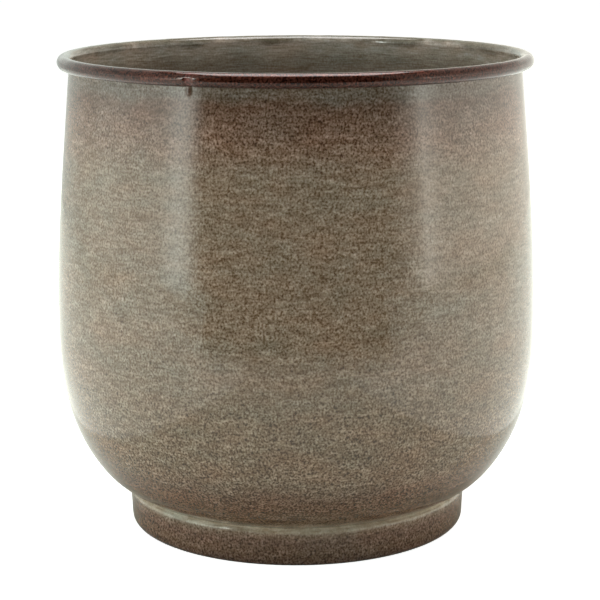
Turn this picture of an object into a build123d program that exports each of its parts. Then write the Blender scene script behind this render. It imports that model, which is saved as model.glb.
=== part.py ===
from build123d import *
import math
import os

# A sheet-steel planter: a bulged wall whose top edge is rolled round a rod, a pressed
# bottom disc, and a foot ring welded under the bowl. Millimetres, +Z up, the origin at
# the centre of the circle that the foot stands on.

# Driving dimensions, in millimetres and degrees
SHEET = 1.0                         # thickness of every sheet piece
BELLY_RADIUS = 120.0                # widest outside radius of the wall
BELLY_HEIGHT = 101.0                # height of the widest point
RIM_HEIGHT = 238.0                  # top of the rolled rim

UPPER_BEND = 830.0                  # radius of the curve from the belly to the straight wall
WALL_LEAN = 5.0                     # how far the straight upper wall leans inward
BOWL_BENDS = (172.0, 80.0, 47.0)    # radii of the bowl's bends, from the belly downward
BOWL_TURNS = (12.0, 25.0, 48.0)     # how far each of those bends turns

ROD_RADIUS = 2.45                   # steel rod inside the rim
ROD_PLAY = 0.05                     # radial play between the rod and the curl
ROD_GAP = 1.2                       # open gap between the rod's two ends
CURL_TURN = 308.0                   # how far the sheet wraps round the rod

SEAM_AZIMUTH = 246.0                # where the wall's ends meet, from +X towards +Y
DRESSED_WIDTH = 4.0                 # the weld across the curl, ground a little below its outside
DRESSED_DEPTH = 0.35
DRESSED_TOP = 0.6                   # top of the ground patch above the rod's centre
WELD_WIDTH = 3.4                    # the end of the weld, left proud below the curl
WELD_LENGTH = 8.0
WELD_RISE = 0.45

FOOT_CREASE = 67.0                  # turn of the bowl where the foot ring's shoulder meets it
FOOT_FLANGE = 7.0                   # further turn of the bowl that the foot's flange lies along
FOOT_SHOULDER = 2.1                 # outside radius of the shoulder
FILLET_ON_BOWL = 1.7                # turn of the bowl under the filler in the shoulder's groove
FILLET_ON_FOOT = 52.0               # turn of the shoulder under that filler
FOOT_LEAN = 3.0                     # how far the foot's side leans inward on its way down
FOOT_EDGE = 3.8                     # outside radius of the bend above the seat
FOOT_SEAT = 5.0                     # width of the flat ring that rests on the floor
FOOT_HEM = 2.0                      # outside radius of the bend inside the seat
FOOT_LIP = 3.0                      # straight height of the lip above that bend

LAP_TURN = 10.0                     # turn of the bowl that the bottom disc laps over
LAP_GAP = 0.05                      # brazing gap in that lap
RIB_RADIUS = 40.0                   # stiffening groove pressed into the disc
RIB_WIDTH = 9.0
RIB_DEPTH = 1.4

DOWN = Vector(0, -1)
UP = Vector(0, 1)
CURL_RADIUS = ROD_RADIUS + ROD_PLAY

os.makedirs("parts", exist_ok=True)


def turned(heading, angle):
    """A heading turned to the left by an angle in degrees."""
    return heading.rotate(Axis.Z, angle)


def chain(start, heading, steps, shift=0.0):
    """Tangent runs and bends drawn `shift` to the left of the line that the steps describe.

    A step is a straight length, or a radius with a turn that is positive to the left.
    """
    point = start + turned(heading, 90) * shift
    edges = []
    for step in steps:
        if isinstance(step, tuple):
            radius, turn = step
            edge = JernArc(point, heading, radius - math.copysign(1, turn) * shift, turn)
            heading = turned(heading, turn)
        else:
            edge = Line(point, point + heading * step)
        edges.append(edge)
        point = edge @ 1
    return edges


def sheet_section(start, heading, steps, back_steps=(), side=1):
    """Section of a bent sheet with one face through the start. Back steps leave it the other way."""
    faces = []
    for shift in (0.0, side * SHEET):
        ahead = chain(start, heading, steps, shift)
        behind = chain(start, turned(heading, 180), back_steps, -shift)
        faces.append((ahead, behind))
    (near_ahead, near_behind), (far_ahead, far_behind) = faces
    end_cap = Line(near_ahead[-1] @ 1, far_ahead[-1] @ 1)
    if back_steps:
        start_cap = Line(near_behind[-1] @ 1, far_behind[-1] @ 1)
    else:
        start_cap = Line(near_ahead[0] @ 0, far_ahead[0] @ 0)
    return make_face([*near_ahead, *near_behind, *far_ahead, *far_behind, end_cap, start_cap])


def spin(section, sweep=360.0):
    """Turn a section, drawn with X as the radius and Y as the height, about +Z."""
    return revolve(Plane.XZ * section, axis=Axis.Z, revolution_arc=sweep)


def at_seam(shape):
    """Turn a shape made on the +X side to the wall's welded seam."""
    return Rot(0, 0, SEAM_AZIMUTH) * shape


def belly():
    return Vector(BELLY_RADIUS, BELLY_HEIGHT)


def bowl_steps(turn_left):
    """Bends from the belly down through a total turn, as steps of a chain."""
    steps = []
    for radius, turn in zip(BOWL_BENDS, BOWL_TURNS):
        used = min(turn, turn_left)
        if used > 0:
            steps.append((radius, -used))
        turn_left -= used
    return steps


def bowl_point(turn):
    """Point of the bowl's outside line, and its heading, after a turn from the belly."""
    end = chain(belly(), DOWN, bowl_steps(turn))[-1] @ 1
    return end, turned(DOWN, -turn)


def upper_steps():
    """Steps from the belly up to where the wall's outside touches the rod."""
    bend = (UPPER_BEND, WALL_LEAN)
    lean = math.radians(WALL_LEAN)
    bend_top = chain(belly(), UP, [bend])[-1] @ 1
    touch_height = RIM_HEIGHT - SHEET - CURL_RADIUS - CURL_RADIUS * math.sin(lean)
    return [bend, (touch_height - bend_top.Y) / math.cos(lean)]


def rod_centre():
    """Radius and height of the rod's centre line, as a 2D point."""
    touch = chain(belly(), UP, upper_steps())[-1] @ 1
    return touch + turned(UP, WALL_LEAN - 90) * CURL_RADIUS


def dressed_patch():
    """What is ground off the curl's outside at the weld, from its middle down to the wall."""
    outside = CURL_RADIUS + SHEET
    ring = Circle(2 * outside) - Circle(outside - DRESSED_DEPTH)
    below = Rectangle(4 * outside, 4 * outside, align=(Align.CENTER, Align.MAX))
    outward = Rectangle(4 * outside, 4 * outside, align=(Align.MIN, Align.CENTER))
    section = Pos(rod_centre().X, rod_centre().Y) * (ring & (Pos(0, DRESSED_TOP) * below) & outward)
    sweep = math.degrees(DRESSED_WIDTH / rod_centre().X)
    return at_seam(Rot(0, 0, sweep / 2) * spin(section, sweep))


def weld_end():
    """The proud end of the butt weld: a sliver of a capsule, leaned with the wall."""
    radius = (WELD_WIDTH ** 2 / 4 + WELD_RISE ** 2) / (2 * WELD_RISE)
    straight = WELD_LENGTH - WELD_WIDTH / 2
    capsule = Cylinder(radius, straight, align=(Align.CENTER, Align.CENTER, Align.MAX))
    capsule += Pos(0, 0, -straight) * Sphere(radius)
    skin = Box(SHEET, 2 * WELD_WIDTH, 3 * WELD_LENGTH)
    sliver = Pos(WELD_RISE - radius, 0, 0) * capsule & skin
    rod_touch = chain(belly(), UP, upper_steps())[-1] @ 1
    top = rod_touch - turned(UP, WALL_LEAN) * CURL_RADIUS
    return at_seam(Pos(top.X, 0, top.Y) * Rot(0, -WALL_LEAN, 0) * sliver)


def wall_shell():
    """The side wall, from its lower edge in the bowl to the curl round the rod."""
    curl = (CURL_RADIUS, -CURL_TURN)
    section = sheet_section(belly(), UP, [*upper_steps(), curl], bowl_steps(sum(BOWL_TURNS)))
    return spin(section) - dressed_patch() + weld_end()


def rim_rod():
    """The rod in the rim, bent to a ring whose ends nearly meet at the seam."""
    centre = rod_centre()
    gap = math.degrees(ROD_GAP / centre.X)
    section = Pos(centre.X, centre.Y) * Circle(ROD_RADIUS)
    return at_seam(Rot(0, 0, gap / 2) * spin(section, 360 - gap))


def rib_steps():
    """A rounded groove pressed downward, met while heading inward."""
    turn = 2 * math.atan(2 * RIB_DEPTH / RIB_WIDTH)
    radius = RIB_WIDTH / (4 * math.sin(turn))
    angle = math.degrees(turn)
    return [(radius, angle), (radius, -2 * angle), (radius, angle)]


def base_pan():
    """The pressed disc that closes the bottom, lapped over the wall's lower edge."""
    lap_start = sum(BOWL_TURNS) - LAP_TURN
    on_bowl, heading = bowl_point(lap_start)
    start = on_bowl + turned(heading, -90) * (SHEET + LAP_GAP)
    bend = (BOWL_BENDS[-1] - SHEET - LAP_GAP, lap_start - 90)
    floor_start = (chain(start, heading, [bend])[-1] @ 1).X
    rib_edge = RIB_RADIUS + RIB_WIDTH / 2
    steps = [bend, floor_start - rib_edge, *rib_steps(), rib_edge - RIB_WIDTH]
    return spin(sheet_section(start, heading, steps, side=-1))


def foot_fillet():
    """Section of the filler that closes the groove between the bowl and the foot's shoulder."""
    crease, heading = bowl_point(FOOT_CREASE)
    heading = turned(heading, 180)
    on_bowl = chain(crease, heading, [(BOWL_BENDS[-1], FILLET_ON_BOWL)])[0]
    on_foot = chain(crease, heading, [(FOOT_SHOULDER, -FILLET_ON_FOOT)])[0]
    return make_face([on_bowl, on_foot, Line(on_bowl @ 1, on_foot @ 1)])


def foot_ring():
    """The foot: a flange against the bowl, a shoulder, a side, a seat and a lip."""
    flange_end, heading = bowl_point(FOOT_CREASE + FOOT_FLANGE)
    heading = turned(heading, 180)
    flange = (BOWL_BENDS[-1], FOOT_FLANGE)
    shoulder = (FOOT_SHOULDER, FOOT_CREASE - 180 - FOOT_LEAN)
    shoulder_end = chain(flange_end, heading, [flange, shoulder])[-1] @ 1
    lean = math.radians(FOOT_LEAN)
    side = (shoulder_end.Y - FOOT_EDGE * (1 - math.sin(lean))) / math.cos(lean)
    edge = (FOOT_EDGE, FOOT_LEAN - 90)
    steps = [flange, shoulder, side, edge, FOOT_SEAT, (FOOT_HEM, -90), FOOT_LIP]
    return spin(sheet_section(flange_end, heading, steps, side=-1)) + spin(foot_fillet())


PIECES = {
    "wall_shell": wall_shell,
    "rim_rod": rim_rod,
    "base_pan": base_pan,
    "foot_ring": foot_ring,
}

for name, make in PIECES.items():
    piece = make()
    piece.label = name
    export_step(piece, f"parts/{name}.step")
    box = piece.bounding_box()
    print(name, len(piece.solids()), "solid", round(piece.volume), "mm3", box.min, box.max)
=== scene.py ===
import math

import bpy
from mathutils import Euler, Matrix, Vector


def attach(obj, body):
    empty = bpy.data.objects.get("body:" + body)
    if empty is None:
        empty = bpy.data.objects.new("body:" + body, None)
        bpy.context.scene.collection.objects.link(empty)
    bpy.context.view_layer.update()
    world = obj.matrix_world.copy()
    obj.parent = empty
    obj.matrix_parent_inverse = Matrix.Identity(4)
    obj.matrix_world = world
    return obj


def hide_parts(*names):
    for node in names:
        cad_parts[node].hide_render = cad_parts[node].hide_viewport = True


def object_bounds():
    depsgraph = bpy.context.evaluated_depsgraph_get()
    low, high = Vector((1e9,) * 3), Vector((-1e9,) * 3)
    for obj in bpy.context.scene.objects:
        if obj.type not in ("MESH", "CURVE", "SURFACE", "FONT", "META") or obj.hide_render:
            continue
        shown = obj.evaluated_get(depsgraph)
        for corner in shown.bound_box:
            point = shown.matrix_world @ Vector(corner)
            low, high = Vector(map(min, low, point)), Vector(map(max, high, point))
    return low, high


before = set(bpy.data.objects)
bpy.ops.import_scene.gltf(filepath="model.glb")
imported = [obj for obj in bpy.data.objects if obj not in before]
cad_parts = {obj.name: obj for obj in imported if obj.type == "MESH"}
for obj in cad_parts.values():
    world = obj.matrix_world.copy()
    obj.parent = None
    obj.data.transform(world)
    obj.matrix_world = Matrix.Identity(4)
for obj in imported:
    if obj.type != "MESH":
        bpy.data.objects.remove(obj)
cad_low, cad_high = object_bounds()

# ---------------------------------------- the pot's driving values, in metres and degrees
SKIN = 0.00004                          # the finer wall lies this far inside the CAD wall's outside
BELLY = cad_high.x - SKIN               # widest radius of the pot
RIM_TOP = cad_high.z - SKIN
BELLY_HEIGHT = 0.101
SHEET = 0.001
UPPER_BEND = 0.830
WALL_LEAN = 5.0
BOWL_BENDS = (0.172, 0.080, 0.047)
BOWL_TURNS = (12.0, 25.0, 48.0)
CURL = 0.0025                           # radius of the sheet's face round the rod in the rim
CURL_TURN = 308.0
SEAM = math.radians(246.0)              # azimuth of the wall's weld, from +X towards +Y
PATCH_WIDTH = 0.0040                    # the weld ground down across the curl
PATCH_DEPTH = 0.00026
WELD_WIDTH = 0.0034                     # the weld's proud end, below the curl
WELD_LENGTH = 0.0080
WELD_RISE = 0.00036
WELD_DRIFT = 0.0024                     # how far the weld's proud end lies to the left of the ground patch

# ---------------------------------------- the camera's place, in metres and degrees
CAMERA_BACK = 0.9595                    # straight in front of the pot and above it
CAMERA_UP = 0.3156
CAMERA_PITCH = math.radians(11.95)      # how far it looks down
CAMERA_YAW = math.radians(-0.11)
CAMERA_ROLL = math.radians(-0.2)
CAMERA_LENS = 115.86                    # in millimetres, like the sensor's width
CAMERA_SENSOR = 36.0


# ---------------------------------------- node helpers
class Nodes:
    """A short way to build a node tree: every call makes a node and links its inputs."""

    def __init__(self, tree):
        self.tree = tree

    def add(self, kind, inputs=None, out=0, **settings):
        node = self.tree.nodes.new(kind)
        for name, value in settings.items():
            setattr(node, name, value)
        for name, value in (inputs or {}).items():
            if isinstance(value, bpy.types.NodeSocket):
                self.tree.links.new(value, node.inputs[name])
            else:
                node.inputs[name].default_value = value
        return node.outputs[out]

    def math(self, operation, a, b=0.0):
        return self.add("ShaderNodeMath", {0: a, 1: b}, operation=operation)

    def vector(self, operation, *values):
        return self.add("ShaderNodeVectorMath", dict(enumerate(values)), operation=operation)

    def mix(self, factor, a, b, blend="MIX"):
        return self.add("ShaderNodeMix", {0: factor, 6: a, 7: b}, out=2, data_type="RGBA", blend_type=blend)

    def noise(self, vector, scale, detail=2.0, roughness=0.5):
        inputs = {"Vector": vector, "Scale": scale, "Detail": detail, "Roughness": roughness}
        return self.add("ShaderNodeTexNoise", inputs)

    def ramp(self, factor, stops):
        node = self.tree.nodes.new("ShaderNodeValToRGB")
        points = node.color_ramp.elements
        while len(points) < len(stops):
            points.new(0.5)
        for point, (position, value) in zip(points, stops):
            point.position = position
            point.color = (value, value, value, 1) if isinstance(value, float) else (*value, 1)
        self.tree.links.new(factor, node.inputs["Fac"])
        return node.outputs["Color"]

    def split(self, vector):
        node = self.tree.nodes.new("ShaderNodeSeparateXYZ")
        self.tree.links.new(vector, node.inputs[0])
        return node.outputs

    def stretch(self, vector, up):
        return self.add("ShaderNodeMapping", {"Vector": vector, "Scale": (1.0, 1.0, up)})

    def span(self, value, low, high, to_low=0.0, to_high=1.0, smooth=False):
        inputs = {"Value": value, "From Min": low, "From Max": high, "To Min": to_low, "To Max": to_high}
        kind = "SMOOTHSTEP" if smooth else "LINEAR"
        return self.add("ShaderNodeMapRange", inputs, interpolation_type=kind)


def new_material(name):
    material = bpy.data.materials.new(name)
    material.use_nodes = True
    tree = material.node_tree
    tree.nodes.clear()
    nodes = Nodes(tree)
    shader = tree.nodes.new("ShaderNodeBsdfPrincipled")
    output = tree.nodes.new("ShaderNodeOutputMaterial")
    tree.links.new(shader.outputs[0], output.inputs[0])
    return material, nodes, shader


# ---------------------------------------- paint
OBJECT = 3                              # the output of Texture Coordinate that gives the piece's own place
WANDER_SCALE = 45.0                     # scales of the paint's noises, in cells per metre
PATCH_SCALE = 34.0
BAND_SCALE = 120.0
SPECK_SCALE = 1080.0
RAGGED_SCALE = 900.0
BROWN_TINT, GREEN_TINT = (1, -0.35, -1), (-1, 0.35, 1)
SPECK_TINT = (0.84, 1.00, 1.20)         # the paler specks are a little greyer than the darker ones
PLAIN = (1, 1, 1)
DARKEST = (0.25, 0.25, 0.25)            # the least that a speck leaves of the colour
WELD_COVER = 0.65                       # how much of the weld's own colour shows on the weld
WELD_RAGGED = 0.0008                    # how far the edge of that colour wanders, in metres
WELD_BLUR = 0.0008
WELD_OVERLAP = 0.0003
WELD_FADE = 0.0030                      # height over which the colour sets in


def by_share(nodes, share, rows, column):
    """One column of a paint's rows, by height as a share of the pot's."""
    return nodes.ramp(share, [(row[0] / RIM_TOP, row[column]) for row in rows])


def on_weld(nodes, place, low, aside):
    """How much the weld's colour shows: none beside the weld, and none below the height `low`."""
    turned = nodes.add("ShaderNodeMapping", {"Vector": place, "Rotation": (0, 0, -SEAM)})
    outward, sideways, height = nodes.split(turned)
    ragged = nodes.noise(nodes.stretch(place, 0.3), RAGGED_SCALE)
    ragged = nodes.span(ragged, 0.3, 0.7, -WELD_RAGGED, WELD_RAGGED)
    along = nodes.math("ABSOLUTE", nodes.math("SUBTRACT", sideways, aside))
    along = nodes.math("ADD", along, ragged)
    edge = WELD_WIDTH / 2 + WELD_OVERLAP
    across = nodes.span(along, edge, edge - WELD_BLUR, 0.0, WELD_COVER)
    outside = nodes.math("GREATER_THAN", outward, 0.0)
    above = nodes.span(nodes.math("ADD", height, ragged), low, low + WELD_FADE)
    return nodes.math("MULTIPLY", nodes.math("MULTIPLY", across, outside), above)


def sprayed_paint(name, rows, tint=0.06, streak=0.8, lengthen=5.0, wander=0.003, weld=None):
    """Sprayed and speckled paint under a clear coat.

    A row is (height in metres, colour, strength of the speckle). The heights wander by up to
    `wander`, patches are tinted brown and green, and streaks `lengthen` times as long as they
    are high run round the pot. A weld is (lowest height, distance aside, colour).
    """
    material, nodes, shader = new_material(name)
    place = nodes.add("ShaderNodeTexCoord", out=OBJECT)
    shift = nodes.noise(nodes.stretch(place, 1.6), WANDER_SCALE, 3.0, 0.6)
    shift = nodes.span(shift, 0.25, 0.75, -wander, wander)
    height = nodes.math("ADD", nodes.split(place)[2], shift)
    share = nodes.span(height, 0.0, RIM_TOP)
    colour = by_share(nodes, share, rows, 1)
    strength = by_share(nodes, share, rows, 2)

    patches = nodes.span(nodes.noise(nodes.stretch(place, 2.2), PATCH_SCALE, 3.0, 0.6), 0.3, 0.7)
    tints = [tuple(1 + tint * part for part in hue) + (1,) for hue in (BROWN_TINT, GREEN_TINT)]
    colour = nodes.mix(1.0, colour, nodes.mix(patches, *tints), "MULTIPLY")
    if weld:
        low, aside, weld_colour = weld
        colour = nodes.mix(on_weld(nodes, place, low, aside), colour, (*weld_colour, 1))

    bands = nodes.noise(nodes.stretch(place, lengthen), BAND_SCALE, 2.0, 0.6)
    bands = nodes.span(bands, 0.0, 1.0, -streak, streak)
    bands = nodes.vector("MULTIPLY_ADD", bands, SPECK_TINT, PLAIN)
    specks = nodes.noise(nodes.stretch(place, 0.88), SPECK_SCALE, 1.0, 0.5)
    specks = nodes.span(specks, 0.0, 1.0, -1.0, 1.0)
    specks = nodes.math("MULTIPLY", specks, strength)
    specks = nodes.vector("MULTIPLY_ADD", specks, SPECK_TINT, PLAIN)
    shade = nodes.vector("MAXIMUM", nodes.vector("MULTIPLY", specks, bands), DARKEST)
    colour = nodes.mix(1.0, colour, shade, "MULTIPLY")

    nodes.tree.links.new(colour, shader.inputs["Base Color"])
    shader.inputs["Roughness"].default_value = 0.6
    shader.inputs["Specular IOR Level"].default_value = 0.0
    shader.inputs["Coat Weight"].default_value = 1.0
    shader.inputs["Coat Roughness"].default_value = 0.1
    shader.inputs["Coat IOR"].default_value = 1.5
    return material


SAGE = (0.215, 0.16, 0.115)             # the broad middle of the wall
BROWN = (0.14, 0.08, 0.05)              # where the brown spray lies thickest on the wall
PALE_FILLER_AND_HIGHLIGHT = (0.52, 0.45, 0.35)             # the pale filler line in the foot's groove, painted paler than its own paint as a painted highlight of the light its shoulder catches

# Rows of the paints: (height in metres, colour, strength of the speckle)
WALL_ROWS = [
    (0.0195, (0.32, 0.24, 0.17), 0.5),
    (0.023, (0.17, 0.11, 0.07), 1.5),
    (0.033, BROWN, 2.6),
    (0.040, BROWN, 2.7),
    (0.050, (0.17, 0.115, 0.075), 2.6),
    (0.078, (0.18, 0.125, 0.08), 2.2),
    (0.100, (0.20, 0.145, 0.10), 1.7),
    (0.130, SAGE, 1.5),
    (0.190, SAGE, 1.4),
    (0.208, (0.19, 0.12, 0.085), 2.0),
    # the two rows under the bead are painted darker: partly their own brown and green-grey, partly painted
    # shade under the bead
    (0.222, (0.14, 0.085, 0.06), 1.8),
    (0.227, (0.145, 0.11, 0.085), 1.5),
]
FOOT_ROWS = [
    # darker towards the bottom edge: painted shade where the foot meets the floor
    (0.0, (0.10, 0.055, 0.04), 2.0),
    (0.006, (0.175, 0.105, 0.07), 2.4),
    (0.0125, (0.165, 0.095, 0.065), 2.4),
    (0.0155, (0.19, 0.12, 0.08), 1.9),
    # from here to 0.0196: the filler's own pale paint, brightened into a painted highlight of the lit
    # shoulder
    (0.017, (0.26, 0.20, 0.145), 0.9),
    (0.018, (0.45, 0.39, 0.30), 0.3),
    (0.019, PALE_FILLER_AND_HIGHLIGHT, 0.3),
    (0.0196, (0.43, 0.36, 0.27), 0.4),
]
PAN_ROWS = [
    (0.014, (0.22, 0.185, 0.13), 1.4),
    (0.019, (0.24, 0.21, 0.155), 1.0),
]
INSIDE_ROWS = [
    (0.019, (0.24, 0.21, 0.16), 0.5),
    (0.120, (0.185, 0.16, 0.12), 0.5),
    (0.223, (0.20, 0.17, 0.135), 0.5),
    (0.227, (0.245, 0.21, 0.17), 0.5),
    (0.230, (0.33, 0.29, 0.24), 0.4),
    (0.2335, (0.34, 0.285, 0.235), 0.4),
    (0.2357, (0.15, 0.125, 0.095), 0.6),
    (0.237, (0.095, 0.08, 0.055), 0.8),
]
BEAD_ROWS = [(height, (0.043, 0.013, 0.008), 3.0) for height in (0.230, 0.238)]

# Welds in the paints: (lowest height, distance aside, colour)
WALL_WELD = (0.2260, -WELD_DRIFT, (0.150, 0.080, 0.064))
BEAD_WELD = (0.2265, 0.0, (0.095, 0.030, 0.025))

wall_paint = sprayed_paint("wall_paint", WALL_ROWS, weld=WALL_WELD)
inside_paint = sprayed_paint("inside_paint", INSIDE_ROWS, streak=0.75, lengthen=10.0)
bead_paint = sprayed_paint("bead_paint", BEAD_ROWS, streak=0.6, lengthen=1.0, weld=BEAD_WELD)
bead_shader = bead_paint.node_tree.nodes["Principled BSDF"]
bead_shader.inputs["Metallic"].default_value = 0.45
bead_shader.inputs["Roughness"].default_value = 0.35
bead_shader.inputs["Coat Roughness"].default_value = 0.07
bead_shader.inputs["Coat IOR"].default_value = 1.33
foot_paint = sprayed_paint("foot_paint", FOOT_ROWS, wander=0.0008)
pan_paint = sprayed_paint("pan_paint", PAN_ROWS)
for node, material in (("foot_ring", foot_paint), ("base_pan", pan_paint), ("rim_rod", bead_paint)):
    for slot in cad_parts[node].material_slots:
        slot.material = material


# ---------------------------------------- the wall, finer than the CAD's mesh
UP, DOWN = math.pi / 2, -math.pi / 2
BOWL_SPACING = 0.0022                   # lengths between the points of the section, in metres
UPPER_SPACING = 0.0040
SIDE_SPACING = 0.0035
RIM_SPACING = 0.0006                    # over the last stretch below the curl
RIM_STRETCH = 0.012
CURL_SPACING = 0.00026

# Waves of hand-worked sheet: (share, waves round the pot, radians per metre of height, phase)
WALL_WAVES = ((1.0, 5, 14, 0.6), (0.8, 8, -23, 2.1), (0.5, 17, 41, 4.0), (0.4, 23, -67, 1.3))
WALL_WAVE_DEPTH = 0.00002
WALL_WAVE_MEAN = 2.7
RIM_WAVES = ((1.0, 31, 0, 0.0), (0.9, 47, 0, 2.0), (0.8, 71, 0, 5.0))
RIM_WAVE_DEPTH = 0.000018
RIM_WAVE_MEAN = 3.0
RIM_WAVE_FADE = (0.0005, 0.0030)        # they fade over these distances inward from the rod's centre line

SEAM_RADIUS = BELLY - 0.006             # about the radius of the rod's centre line
PATCH_FADE = (-0.0013, 0.0007)          # where the ground patch fades, past its half width
PATCH_TOP = (0.0002, 0.0012)            # where it fades upward, above the rod's centre
PATCH_INNER = 0.001                     # how far inward of the rod's centre line it reaches
WELD_REACH = 0.014                      # nothing of the weld lies further below the rod's centre
WELD_CROWN = (0.15, 1.15)               # where its rise falls off, in half widths
SHARP_ANGLE = math.radians(50)


class Trace:
    """A line drawn by runs and bends, with X as the radius and Y as the height."""

    def __init__(self, r, z, heading):
        self.r, self.z, self.heading = r, z, heading
        self.points = [self.here()]

    def here(self):
        """The place and the direction to the left of the heading."""
        return self.r, self.z, -math.sin(self.heading), math.cos(self.heading)

    def run(self, length, spacing):
        steps = max(1, round(length / spacing))
        for _ in range(steps):
            self.r += math.cos(self.heading) * length / steps
            self.z += math.sin(self.heading) * length / steps
            self.points.append(self.here())

    def bend(self, radius, turn, spacing):
        """A bend by a turn in degrees, positive to the left."""
        turn = math.radians(turn)
        steps = max(2, round(radius * abs(turn) / spacing))
        side = math.copysign(radius, turn)
        for _ in range(steps):
            centre_r = self.r - math.sin(self.heading) * side
            centre_z = self.z + math.cos(self.heading) * side
            self.heading += turn / steps
            self.r = centre_r + math.sin(self.heading) * side
            self.z = centre_z - math.cos(self.heading) * side
            self.points.append(self.here())


def wall_lines():
    """Three lines: the outside below the belly, the outside above it, and the face inside the curl."""
    bowl = Trace(BELLY, BELLY_HEIGHT, DOWN)
    for radius, turn in zip(BOWL_BENDS, BOWL_TURNS):
        bowl.bend(radius, -turn, BOWL_SPACING)
    side = Trace(BELLY, BELLY_HEIGHT, UP)
    side.bend(UPPER_BEND, WALL_LEAN, UPPER_SPACING)
    lean = math.radians(WALL_LEAN)
    touch = RIM_TOP - SHEET - CURL - CURL * math.sin(lean)
    rise = (touch - side.z) / math.cos(lean)
    side.run(rise - RIM_STRETCH, SIDE_SPACING)
    side.run(RIM_STRETCH, RIM_SPACING)
    curl = Trace(side.r, side.z, side.heading)
    curl.bend(CURL, -CURL_TURN, CURL_SPACING)
    return bowl.points, side.points, curl.points


def wall_section():
    """The closed section of the wall: (r, z, outward r, outward z, surface) for each point.

    The surfaces are the outside, the curl's face against the rod, the bead over it, and the inside.
    """
    bowl, side, curl = wall_lines()
    near = [(point, "outside") for point in [*reversed(bowl[1:]), *side]]
    near += [(point, "curl") for point in curl[1:]]
    front = []
    for i, ((r, z, left_r, left_z), kind) in enumerate(near):
        out = 1 if i < len(bowl) - 1 else -1
        front.append((r, z, out * left_r, out * left_z, kind))
    back = []
    for r, z, out_r, out_z, kind in reversed(front):
        kind = "bead" if kind == "curl" else "inside"
        back.append((r - out_r * SHEET, z - out_z * SHEET, -out_r, -out_z, kind))
    return front + back


def rod_place(section):
    """Radius and height of the rod's centre, from the bead round it."""
    radii = [point[0] for point in section if point[4] == "bead"]
    top = max(point[1] for point in section)
    return (min(radii) + max(radii)) / 2, top - CURL - SHEET


def soft(value, full, zero):
    """1 up to `full`, down to 0 at `zero`, smoothly."""
    t = min(1.0, max(0.0, (zero - value) / (zero - full)))
    return t * t * (3 - 2 * t)


def wave_sum(waves, azimuth, height=0.0):
    total = 0.0
    for share, count, rise, phase in waves:
        total += share * math.sin(count * azimuth + rise * height + phase)
    return total


def around_seam(azimuth):
    """Distance along the wall from the seam, in metres, positive to the right as seen from the front."""
    turn = (azimuth - SEAM + math.pi) % (2 * math.pi) - math.pi
    return turn * SEAM_RADIUS


def seam_offset(kind, along, r, z, rod):
    """The weld's share of the shape: a patch ground off the bead, and the weld's proud end under it."""
    if kind == "bead" and r > rod[0] - PATCH_INNER:
        start, end = PATCH_FADE
        across = soft(abs(along), PATCH_WIDTH / 2 + start, PATCH_WIDTH / 2 + end)
        return -PATCH_DEPTH * across * soft(z - rod[1], *PATCH_TOP)
    if kind == "outside" and rod[1] - z <= WELD_REACH:
        past_end = max(0.0, rod[1] - z - (WELD_LENGTH - WELD_WIDTH / 2))
        away = math.hypot(along + WELD_DRIFT, past_end) / (WELD_WIDTH / 2)
        return WELD_RISE * soft(away, *WELD_CROWN)
    return 0.0


def azimuths():
    """Where the wall is cut round the pot: finely beside the seam."""
    fine, coarse, half = math.radians(0.22), math.radians(1.2), math.radians(3.3)
    steps = round(2 * half / fine)
    near = [SEAM - half + 2 * half * i / steps for i in range(steps)]
    rest = 2 * math.pi - 2 * half
    count = round(rest / coarse)
    return near + [SEAM + half + rest * i / count for i in range(count)]


def wall_point(azimuth, here, rod):
    """A point of the section turned to an azimuth, with the sheet's waves and the weld."""
    r, z, out_r, out_z, kind = here
    level = z if kind in ("outside", "inside") else rod[1]
    inward = WALL_WAVE_DEPTH * (WALL_WAVE_MEAN + wave_sum(WALL_WAVES, azimuth, level))
    out = seam_offset(kind, around_seam(azimuth), r, z, rod)
    if kind == "bead":
        dent = RIM_WAVE_DEPTH * (RIM_WAVE_MEAN + wave_sum(RIM_WAVES, azimuth))
        out -= dent * soft(rod[0] - r, *RIM_WAVE_FADE)
    radius = r - inward + out_r * out
    return radius * math.cos(azimuth), radius * math.sin(azimuth), z + out_z * out


def face_kind(here, after, rod):
    """Which paint a strip of the wall has: the curl's inner half has the inside's."""
    if "bead" not in (here[4], after[4]) and "curl" not in (here[4], after[4]):
        return here[4]
    return "bead" if here[0] + after[0] > 2 * rod[0] else "inside"


def build_wall():
    section = wall_section()
    rod = rod_place(section)
    turns = azimuths()
    count = len(section)
    points = [wall_point(azimuth, here, rod) for azimuth in turns for here in section]
    paints = {"outside": wall_paint, "inside": inside_paint, "bead": bead_paint}
    order = list(paints)
    faces, numbers = [], []
    for i in range(len(turns)):
        row, next_row = i * count, (i + 1) % len(turns) * count
        for j in range(count):
            k = (j + 1) % count
            faces.append((row + j, next_row + j, next_row + k, row + k))
            numbers.append(order.index(face_kind(section[j], section[k], rod)))
    mesh = bpy.data.meshes.new("pot_wall")
    mesh.from_pydata(points, [], faces)
    for material in paints.values():
        mesh.materials.append(material)
    mesh.polygons.foreach_set("material_index", numbers)
    mesh.polygons.foreach_set("use_smooth", [True] * len(faces))
    mesh.set_sharp_from_angle(angle=SHARP_ANGLE)
    wall = bpy.data.objects.new("pot_wall", mesh)
    bpy.context.scene.collection.objects.link(wall)
    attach(wall, "root")
    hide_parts("wall_shell")


build_wall()


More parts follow.
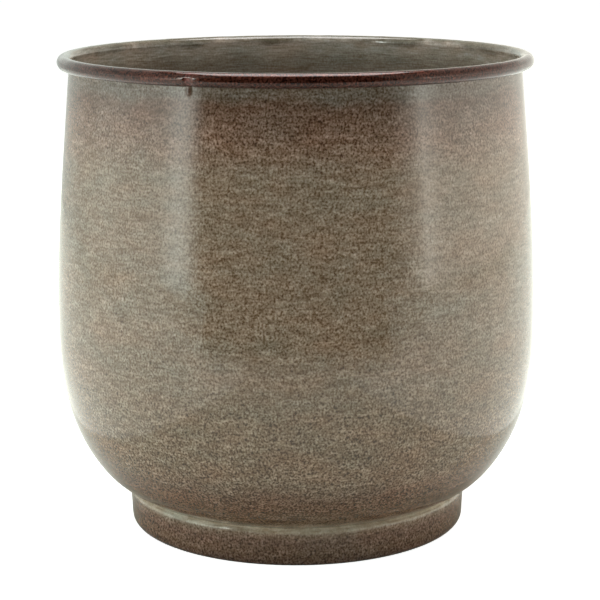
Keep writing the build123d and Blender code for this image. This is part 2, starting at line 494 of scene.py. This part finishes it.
# ---------------------------------------- studio
WHITE = 0.75                            # albedo of the floor
DARK = 0.03
STUDIO_WHITE = (0.96, 1.0, 0.94)        # the floor and its glow, a little green
LEFT_WHITE = (0.925, 1.0, 0.93)
RIGHT_WHITE = (1.0, 1.0, 0.90)
FLOOR_RADIUS = 14.0
FLOOR_HEIGHT = -0.0002                  # just under the foot's seat, so that the two don't coincide
DARK_FLOOR_HEIGHT = 0.001
WALL_DISTANCE = 1.25                    # the light walls stand round the pot at this radius
WALL_HEIGHT = 1.90
WALL_START = 42                         # azimuths of their ends, in degrees
WALL_END = 180
WALL_COLUMNS = 46
WALL_ROWS_UP = 8
LOW_TO_HIGH = (0.30, 0.37)              # heights between their low, high and top bands
HIGH_TO_TOP = (0.58, 0.78)
BOX_HEIGHT = 1.30                       # the softbox overhead
GLOW_START = 0.18                       # the floor's glows begin this far to each side of the pot's axis
GLOW_WIDTH = 1.0
GLOW_HEIGHT = 0.002
GLOW_FADE = (0.23, 0.50)                # shares of its length between which it falls, from the front
SEEN_WORLD = 1.3                        # the background's radiance for the camera, and for all else
UNSEEN_WORLD = 0.02
PARAMETRIC = 5                          # the output of Geometry that gives the place on a lamp


def around(azimuth, distance, height):
    """A place round the pot. Azimuth 0 is the camera's side, and positive is to the camera's right."""
    angle = math.radians(azimuth)
    return Vector((math.sin(angle) * distance, -math.cos(angle) * distance, height))


def stage_object(name, points, faces, material):
    mesh = bpy.data.meshes.new(name)
    mesh.from_pydata(points, [], faces)
    mesh.materials.append(material)
    piece = bpy.data.objects.new(name, mesh)
    bpy.context.scene.collection.objects.link(piece)
    return piece


def sector(angles, rows):
    """Points and faces of a surface swept through azimuths; rows are (distance, height)."""
    points = [around(angle, distance, height) for distance, height in rows for angle in angles]
    count, faces = len(angles), []
    for row in range(len(rows) - 1):
        for i in range(count - 1):
            low = row * count + i
            faces.append((low, low + 1, low + 1 + count, low + count))
    return points, faces


def matt(name, albedo, glow=0.0):
    """A matt surface. With a glow, the camera sees it brighter, and nothing else does."""
    material, nodes, shader = new_material(name)
    shader.inputs["Base Color"].default_value = (*(albedo * part for part in STUDIO_WHITE), 1)
    shader.inputs["Roughness"].default_value = 1.0
    shader.inputs["Specular IOR Level"].default_value = 0.0
    if glow:
        seen = nodes.add("ShaderNodeLightPath")
        shader.inputs["Emission Color"].default_value = (1, 1, 1, 1)
        nodes.tree.links.new(nodes.math("MULTIPLY", seen, glow), shader.inputs["Emission Strength"])
    return material


def floor_disc(steps=96):
    rim = [around(360 * i / steps, FLOOR_RADIUS, FLOOR_HEIGHT) for i in range(steps)]
    stage_object("floor", rim, [list(reversed(range(steps)))], matt("floor", WHITE, glow=1.0))


def dark_floor(half_angle, near, far, steps=24):
    """Where the white floor ends before the camera."""
    angles = [half_angle * (2 * i / steps - 1) for i in range(steps + 1)]
    points, faces = sector(angles, [(near, DARK_FLOOR_HEIGHT), (far, DARK_FLOOR_HEIGHT)])
    dark = stage_object("dark_floor", points, faces, matt("dark_floor", DARK))
    dark.visible_camera = False
    dark.visible_shadow = False


def by_azimuth(nodes, azimuth, stops):
    """Radiance by azimuth in degrees, from a list of (azimuth, radiance)."""
    most = max(value for _, value in stops)
    level = nodes.ramp(azimuth, [(angle / 180, value / most) for angle, value in stops])
    return nodes.math("MULTIPLY", level, most)


def light_wall(name, side, colour, low, high, top):
    """A curved wall that glows as lit paper does, brightest where a softbox stands against it.

    `low` and `high` give the radiance of its two lower bands by azimuth, and `top` that of the third.
    """
    turn = (WALL_END - WALL_START) / WALL_COLUMNS
    angles = [side * (WALL_START + turn * i) for i in range(WALL_COLUMNS + 1)]
    heights = [WALL_HEIGHT * i / WALL_ROWS_UP for i in range(WALL_ROWS_UP + 1)]
    points, faces = sector(angles, [(WALL_DISTANCE, height) for height in heights])
    material = bpy.data.materials.new(name)
    material.use_nodes = True
    tree = material.node_tree
    tree.nodes.clear()
    nodes = Nodes(tree)
    sideways, depth, height = nodes.split(nodes.add("ShaderNodeTexCoord", out=OBJECT))
    ahead = nodes.math("MULTIPLY", depth, -1.0)
    azimuth = nodes.math("ARCTAN2", nodes.math("ABSOLUTE", sideways), ahead)
    azimuth = nodes.math("DIVIDE", azimuth, math.pi)
    lower = by_azimuth(nodes, azimuth, low)
    upper = by_azimuth(nodes, azimuth, high)
    level = nodes.mix(nodes.span(height, *LOW_TO_HIGH, smooth=True), lower, upper)
    level = nodes.mix(nodes.span(height, *HIGH_TO_TOP, smooth=True), level, (top, top, top, 1))
    glow = tree.nodes.new("ShaderNodeEmission")
    glow.inputs["Color"].default_value = (*colour, 1)
    output = tree.nodes.new("ShaderNodeOutputMaterial")
    tree.links.new(level, glow.inputs["Strength"])
    tree.links.new(glow.outputs[0], output.inputs[0])
    stage_object(name, points, faces, material).visible_camera = False


def flat_lamp(name, width, front, back, radiance, place, colour=(1, 1, 1)):
    """A rectangular lamp from front to back, that the camera doesn't see."""
    light = bpy.data.lights.new(name, "AREA")
    light.shape = "RECTANGLE"
    light.size = width
    light.size_y = back - front
    light.energy = radiance * math.pi * light.size * light.size_y
    light.color = colour
    lamp = bpy.data.objects.new(name, light)
    side, height = place
    lamp.location = (side, (front + back) / 2, height)
    lamp.visible_camera = False
    bpy.context.scene.collection.objects.link(lamp)
    return lamp


def floor_glow(name, side, radiance, front, back, growth, far):
    """More light from the floor beside the pot.

    It grows outward over the share `growth` of its width, and falls to the share `far` at the back.
    """
    place = side * (GLOW_START + GLOW_WIDTH / 2), GLOW_HEIGHT
    lamp = flat_lamp(name, GLOW_WIDTH, front, back, radiance, place, STUDIO_WHITE)
    lamp.rotation_euler = (0, math.pi, 0)
    lamp.data.use_nodes = True
    tree = lamp.data.node_tree
    tree.nodes.clear()
    nodes = Nodes(tree)
    across, along, _ = nodes.split(nodes.add("ShaderNodeNewGeometry", out=PARAMETRIC))
    glow = tree.nodes.new("ShaderNodeEmission")
    output = tree.nodes.new("ShaderNodeOutputLight")
    start, full = (0.0, growth) if side > 0 else (1.0, 1.0 - growth)
    beside = nodes.span(across, start, full, smooth=True)
    behind = nodes.span(along, *GLOW_FADE, 1.0, far, smooth=True)
    tree.links.new(nodes.math("MULTIPLY", beside, behind), glow.inputs["Strength"])
    tree.links.new(glow.outputs[0], output.inputs[0])


# Radiance of the light walls by azimuth in degrees from the camera's side
LEFT_LOW = [(42, 0.0), (46, 1.2), (51, 4.0), (55, 4.8), (59, 3.6), (64, 2.4),
            (74, 2.0), (90, 2.0), (104, 1.6), (114, 1.05), (150, 0.8)]
LEFT_HIGH = [(46, 0.0), (48, 20.0), (50.5, 20.0), (53, 2.0), (60, 1.2),
             (75, 1.1), (90, 1.2), (120, 1.1), (150, 1.1)]
RIGHT_LOW = [(44, 0.1), (49, 0.8), (53, 1.3), (57, 2.2), (61, 4.2), (65, 3.3),
             (71, 2.4), (78, 2.1), (92, 2.1), (110, 1.8), (150, 1.2)]
RIGHT_HIGH = [(47, 0.4), (52, 1.0), (62, 1.0), (75, 1.2), (90, 1.3), (120, 1.2), (150, 1.1)]

floor_disc()
dark_floor(half_angle=40, near=0.62, far=6.0)
light_wall("left_wall", -1, LEFT_WHITE, LEFT_LOW, LEFT_HIGH, top=0.85)
light_wall("right_wall", 1, RIGHT_WHITE, RIGHT_LOW, RIGHT_HIGH, top=0.7)
floor_glow("left_glow", -1, radiance=0.8, front=-0.50, back=1.25, growth=0.2, far=0.30)
floor_glow("right_glow", 1, radiance=0.75, front=-0.45, back=1.25, growth=0.3, far=0.7)
flat_lamp("top_box", width=1.0, front=-0.35, back=0.50, radiance=9.2, place=(0, BOX_HEIGHT))

world = bpy.data.worlds.new("studio")
world.use_nodes = True
bpy.context.scene.world = world
world_nodes = Nodes(world.node_tree)
background = world.node_tree.nodes["Background"]
background.inputs["Color"].default_value = (1, 1, 1, 1)
by_camera = world_nodes.add("ShaderNodeLightPath")
brightness = world_nodes.span(by_camera, 0.0, 1.0, UNSEEN_WORLD, SEEN_WORLD)
world.node_tree.links.new(brightness, background.inputs["Strength"])

# ---------------------------------------- camera
camera_data = bpy.data.cameras.new("camera")
camera_data.lens = CAMERA_LENS
camera_data.sensor_width = CAMERA_SENSOR
camera = bpy.data.objects.new("camera", camera_data)
camera.location = (0, -CAMERA_BACK, CAMERA_UP)
look = Euler((math.pi / 2 - CAMERA_PITCH, 0, CAMERA_YAW)).to_matrix()
camera.rotation_euler = (look @ Euler((0, 0, CAMERA_ROLL)).to_matrix()).to_euler()
bpy.context.scene.collection.objects.link(camera)
bpy.context.scene.camera = camera
bpy.context.scene.view_settings.view_transform = "Standard"
